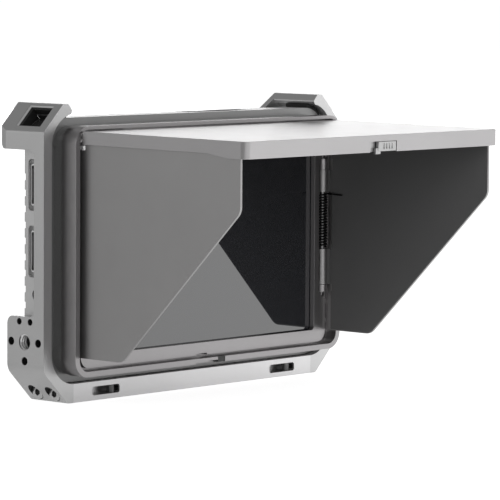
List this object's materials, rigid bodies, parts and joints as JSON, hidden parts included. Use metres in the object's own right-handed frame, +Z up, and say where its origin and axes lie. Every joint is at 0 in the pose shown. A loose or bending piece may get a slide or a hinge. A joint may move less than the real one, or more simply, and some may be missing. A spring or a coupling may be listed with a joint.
{
  "type": "camera field monitor with sun hood",
  "caption": "Flat camera-top monitor in a machined metal cage with open hooks, under a fold-out sun hood with a hinged lid and sprung side flaps.",
  "frame": {"origin": "mouth of the 1/4 inch thread in the middle of the base bar's underside", "axes": "+X to the viewer's right, the screen and hood face -Y, +Z up"},
  "size_m": [0.172, 0.1188, 0.1158],
  "materials": {
    "cage_metal": "anodised, fine blasted satin",
    "bar_metal": "anodised, lightly brushed along its length",
    "hood_metal": "anodised satin",
    "lid_metal": "bright anodised satin",
    "latch_metal": "anodised satin",
    "flap_metal": "anodised satin",
    "dark_film": "matt black lining",
    "front_shell": "fine moulded grain",
    "rear_shell": "anodised satin",
    "battery_plastic": "fine moulded grain",
    "release_plastic": "moulded",
    "button_metal": "anodised satin",
    "screw_steel": "plated steel",
    "pin_steel": "ground steel",
    "spring_steel": "blackened spring wire",
    "plain_spring": "spring wire",
    "rubber": "matt rubber",
    "screen_glass": "polished black glass",
    "panel": "polished",
    "diffuser": "white diffuser",
    "circuit_board": "solder mask",
    "heat_sink_metal": "black anodised",
    "socket_shell": "plated",
    "jack_plastic": "moulded",
    "contact_gold": "gold plated",
    "catch_plastic": "moulded"
  },
  "bodies": {
    "monitor": {"side_plate_left": "cage_metal", "side_plate_right": "cage_metal", "base_bar": "bar_metal", "hood_frame": "hood_metal", "front_housing": "front_shell", "rear_housing": "rear_shell", "battery_plate": "battery_plastic", "corner_screws": "screw_steel", "bar_pins": "screw_steel", "clamp_screws": "screw_steel", "panel_screws": "screw_steel", "board_screws": "screw_steel", "housing_screws": "screw_steel", "battery_plate_screws": "screw_steel", "frame_screws": "screw_steel", "panel_frame": "screw_steel", "lid_stops": "screw_steel", "lid_pins": "pin_steel", "flap_pin_left": "pin_steel", "flap_pin_right": "pin_steel", "hook_pads": "rubber", "screen_gasket": "rubber", "cover_glass": "screen_glass", "picture_panel": "panel", "backlight": "diffuser", "mainboard": "circuit_board", "button_board": "circuit_board", "heat_sink": "heat_sink_metal", "video_socket_upper": "socket_shell", "video_socket_lower": "socket_shell", "headphone_jack": "jack_plastic", "battery_contacts": "contact_gold", "catch_block": "catch_plastic"},
    "lid": {"lid": "lid_metal", "lid_film": "dark_film", "latch_case": "latch_metal"},
    "latch": {"latch_slider": "latch_metal", "latch_spring": "plain_spring"},
    "flap_left": {"flap_left": "flap_metal", "flap_film_left": "dark_film", "flap_spring_left": "spring_steel"},
    "flap_right": {"flap_right": "flap_metal", "flap_film_right": "dark_film", "flap_spring_right": "spring_steel"},
    "power_button": {"power_button": "button_metal"},
    "menu_button": {"menu_button": "button_metal"},
    "input_button": {"input_button": "button_metal"},
    "battery_release": {"battery_release": "release_plastic", "release_springs": "plain_spring"}
  },
  "joints": [
    {"name": "lid_hinge", "type": "hinge", "parent": "monitor", "child": "lid", "pos_m": [0, -0.0182, 0.1034], "axis": [-1, 0, 0], "range_deg": [-2, 15]},
    {"name": "flap_left_hinge", "type": "hinge", "parent": "monitor", "child": "flap_left", "pos_m": [-0.0702, -0.01395, 0.06], "axis": [0, 0, 1], "range_deg": [0, 90], "stiffness_Nm_per_rad": 0.01, "springref_deg": -17.19},
    {"name": "flap_right_hinge", "type": "hinge", "parent": "monitor", "child": "flap_right", "pos_m": [0.0702, -0.0154, 0.06], "axis": [0, 0, -1], "range_deg": [0, 90], "stiffness_Nm_per_rad": 0.01, "springref_deg": -17.19},
    {"name": "latch_slide", "type": "slide", "parent": "lid", "child": "latch", "axis": [-1, 0, 0], "range_m": [0, 0.003], "stiffness_N_per_m": 300, "deforming": ["latch_spring"]},
    {"name": "power_press", "type": "slide", "parent": "monitor", "child": "power_button", "axis": [-1, 0, 0], "range_m": [0, 0.0006], "stiffness_N_per_m": 500},
    {"name": "menu_press", "type": "slide", "parent": "monitor", "child": "menu_button", "axis": [-1, 0, 0], "range_m": [0, 0.0006], "stiffness_N_per_m": 500},
    {"name": "input_press", "type": "slide", "parent": "monitor", "child": "input_button", "axis": [-1, 0, 0], "range_m": [0, 0.0006], "stiffness_N_per_m": 500},
    {"name": "release_slide", "type": "slide", "parent": "monitor", "child": "battery_release", "axis": [0, 0, -1], "range_m": [0, 0.0025], "stiffness_N_per_m": 400, "deforming": ["release_springs"]}
  ]
}
